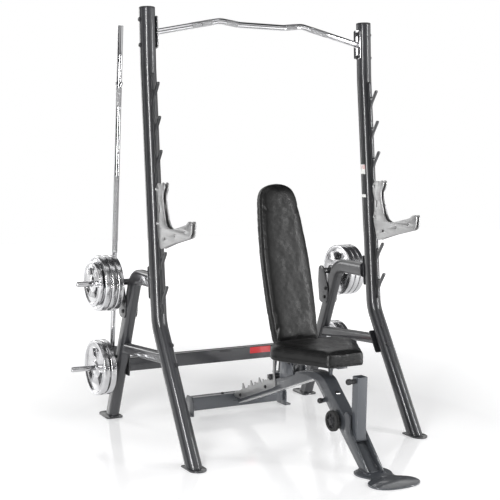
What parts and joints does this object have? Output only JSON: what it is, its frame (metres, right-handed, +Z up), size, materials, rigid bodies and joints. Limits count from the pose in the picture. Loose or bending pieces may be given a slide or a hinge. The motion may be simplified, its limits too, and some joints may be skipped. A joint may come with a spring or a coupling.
{
  "type": "smith machine",
  "caption": "Free-weight training station: open half rack with toothed catch rails, lift-off bar hooks, pull-up bar, plate storage pegs, stored straight bar and adjustable leather bench.",
  "frame": {"origin": "centre of the station's box on the floor", "axes": "+Z up, +X to the right of a person facing the rack from the bench's front foot, +Y towards the back"},
  "size_m": [1.75, 1.75, 2.0927],
  "materials": {
    "rack_frame": "dark charcoal gloss powder coat with a fine metallic flake",
    "bench_frame": "lighter blue-grey satin powder coat",
    "chrome": "bright plated, knurled where gripped",
    "plate_chrome": "satin plated, turned face with a bright rim",
    "zinc": "satin zinc plate",
    "black_plastic": "fine moulded texture",
    "wheel_rubber": "matt black tread on a black hub",
    "leather": "black grained leather, stitched side seams"
  },
  "bodies": {
    "rack": {"upright_left": "rack_frame", "upright_cap_left": "black_plastic", "catch_rail_left": "rack_frame", "rear_leg_left": "rack_frame", "lower_brace_left": "rack_frame", "peg_bracket_left": "rack_frame", "upper_peg_left": "chrome", "lower_peg_left": "chrome", "upright_right": "rack_frame", "upright_cap_right": "black_plastic", "catch_rail_right": "rack_frame", "rear_leg_right": "rack_frame", "lower_brace_right": "rack_frame", "peg_bracket_right": "rack_frame", "upper_peg_right": "chrome", "lower_peg_right": "chrome", "crossbar": "rack_frame", "pullup_bar": "chrome", "bar_socket": "rack_frame"},
    "hook_left": {"bar_hook_left": "zinc"},
    "hook_right": {"bar_hook_right": "zinc"},
    "barbell": {"barbell_shaft": "chrome", "barbell_head_sleeve": "chrome", "barbell_foot_sleeve": "chrome"},
    "upper_inner_weight_left": {"upper_inner_plate_left": "plate_chrome"},
    "upper_middle_weight_left": {"upper_middle_plate_left": "plate_chrome"},
    "upper_outer_weight_left": {"upper_outer_plate_left": "plate_chrome"},
    "upper_small_weight_left": {"upper_small_plate_left": "plate_chrome"},
    "lower_inner_weight_left": {"lower_inner_plate_left": "plate_chrome"},
    "lower_outer_weight_left": {"lower_outer_plate_left": "plate_chrome"},
    "upper_inner_weight_right": {"upper_inner_plate_right": "plate_chrome"},
    "upper_middle_weight_right": {"upper_middle_plate_right": "plate_chrome"},
    "upper_outer_weight_right": {"upper_outer_plate_right": "plate_chrome"},
    "upper_small_weight_right": {"upper_small_plate_right": "plate_chrome"},
    "lower_inner_weight_right": {"lower_inner_plate_right": "plate_chrome"},
    "lower_outer_weight_right": {"lower_outer_plate_right": "plate_chrome"},
    "bench": {"bench_spine": "bench_frame", "bench_rear_foot": "bench_frame", "bench_front_foot": "bench_frame", "receiver_post": "bench_frame", "stop_bar": "black_plastic", "hinge_bracket": "bench_frame", "leg_cheek_left": "bench_frame", "leg_cheek_right": "bench_frame", "comb_left": "zinc", "comb_right": "zinc", "axle_left": "zinc", "axle_right": "zinc", "post_pin_housing": "black_plastic", "seat_pin_housing": "bench_frame"},
    "backrest": {"back_frame": "bench_frame", "back_pad": "leather"},
    "strut": {"support_strut": "bench_frame"},
    "seat": {"seat_frame": "bench_frame", "seat_pad": "leather"},
    "roller_left": {"wheel_left": "wheel_rubber"},
    "roller_right": {"wheel_right": "wheel_rubber"},
    "post_plunger": {"post_pin": "black_plastic"},
    "seat_plunger": {"seat_pin": "black_plastic"}
  },
  "joints": [
    {"name": "hook_left_lift", "type": "slide", "parent": "rack", "child": "hook_left", "axis": [0, -0.5337, 0.8457], "range_m": [0, 0.09]},
    {"name": "hook_right_lift", "type": "slide", "parent": "rack", "child": "hook_right", "axis": [0, -0.5337, 0.8457], "range_m": [0, 0.09]},
    {"name": "barbell_lift", "type": "slide", "parent": "rack", "child": "barbell", "axis": [0.0223, 0, 0.9998], "range_m": [0, 0.3]},
    {"name": "upper_small_weight_left_slide", "type": "slide", "parent": "rack", "child": "upper_small_weight_left", "axis": [-1, 0, 0], "range_m": [0, 0.25]},
    {"name": "upper_outer_weight_left_slide", "type": "slide", "parent": "rack", "child": "upper_outer_weight_left", "axis": [-1, 0, 0], "range_m": [0, 0.188]},
    {"name": "upper_middle_weight_left_slide", "type": "slide", "parent": "rack", "child": "upper_middle_weight_left", "axis": [-1, 0, 0], "range_m": [0, 0.1255]},
    {"name": "upper_inner_weight_left_slide", "type": "slide", "parent": "rack", "child": "upper_inner_weight_left", "axis": [-1, 0, 0], "range_m": [0, 0.063]},
    {"name": "lower_outer_weight_left_slide", "type": "slide", "parent": "rack", "child": "lower_outer_weight_left", "axis": [-1, 0, 0], "range_m": [0, 0.2]},
    {"name": "lower_inner_weight_left_slide", "type": "slide", "parent": "rack", "child": "lower_inner_weight_left", "axis": [-1, 0, 0], "range_m": [0, 0.1005]},
    {"name": "upper_small_weight_right_slide", "type": "slide", "parent": "rack", "child": "upper_small_weight_right", "axis": [1, 0, 0], "range_m": [0, 0.25]},
    {"name": "upper_outer_weight_right_slide", "type": "slide", "parent": "rack", "child": "upper_outer_weight_right", "axis": [1, 0, 0], "range_m": [0, 0.188]},
    {"name": "upper_middle_weight_right_slide", "type": "slide", "parent": "rack", "child": "upper_middle_weight_right", "axis": [1, 0, 0], "range_m": [0, 0.1255]},
    {"name": "upper_inner_weight_right_slide", "type": "slide", "parent": "rack", "child": "upper_inner_weight_right", "axis": [1, 0, 0], "range_m": [0, 0.063]},
    {"name": "lower_outer_weight_right_slide", "type": "slide", "parent": "rack", "child": "lower_outer_weight_right", "axis": [1, 0, 0], "range_m": [0, 0.2]},
    {"name": "lower_inner_weight_right_slide", "type": "slide", "parent": "rack", "child": "lower_inner_weight_right", "axis": [1, 0, 0], "range_m": [0, 0.1005]},
    {"name": "bench_slide", "type": "slide", "parent": "rack", "child": "bench", "axis": [0, -1, 0], "range_m": [0, 0.6]},
    {"name": "backrest_tilt", "type": "hinge", "parent": "bench", "child": "backrest", "pos_m": [0.06, 0.08, 0.405], "axis": [-1, 0, 0], "range_deg": [0, 72]},
    {"name": "strut_swing", "type": "hinge", "parent": "backrest", "child": "strut", "pos_m": [0.06, 0.1577, 0.64264], "axis": [1, 0, 0], "range_deg": [0, 108.2]},
    {"name": "seat_tilt", "type": "hinge", "parent": "bench", "child": "seat", "pos_m": [0.06, 0.025, 0.378], "axis": [-1, 0, 0], "range_deg": [0, 10]},
    {"name": "roller_left_spin", "type": "hinge", "parent": "bench", "child": "roller_left", "pos_m": [0.003, -0.399, 0.19], "axis": [1, 0, 0], "continuous": true},
    {"name": "roller_right_spin", "type": "hinge", "parent": "bench", "child": "roller_right", "pos_m": [0.117, -0.399, 0.19], "axis": [1, 0, 0], "continuous": true},
    {"name": "post_pin_pull", "type": "slide", "parent": "bench", "child": "post_plunger", "axis": [-1, 0, 0], "range_m": [0, 0.012], "stiffness_N_per_m": 600, "springref_m": -0.008},
    {"name": "seat_pin_pull", "type": "slide", "parent": "bench", "child": "seat_plunger", "axis": [-1, 0, 0], "range_m": [0, 0.015], "stiffness_N_per_m": 600, "springref_m": -0.008}
  ],
  "couplings": [
    {"joint": "upper_outer_weight_left_slide", "follows": "upper_small_weight_left_slide", "ratio": 0.75},
    {"joint": "upper_middle_weight_left_slide", "follows": "upper_small_weight_left_slide", "ratio": 0.5},
    {"joint": "upper_inner_weight_left_slide", "follows": "upper_small_weight_left_slide", "ratio": 0.25},
    {"joint": "lower_inner_weight_left_slide", "follows": "lower_outer_weight_left_slide", "ratio": 0.5},
    {"joint": "upper_outer_weight_right_slide", "follows": "upper_small_weight_right_slide", "ratio": 0.75},
    {"joint": "upper_middle_weight_right_slide", "follows": "upper_small_weight_right_slide", "ratio": 0.5},
    {"joint": "upper_inner_weight_right_slide", "follows": "upper_small_weight_right_slide", "ratio": 0.25},
    {"joint": "lower_inner_weight_right_slide", "follows": "lower_outer_weight_right_slide", "ratio": 0.5},
    {"joint": "strut_swing", "follows": "backrest_tilt", "ratio": 1.5}
  ]
}
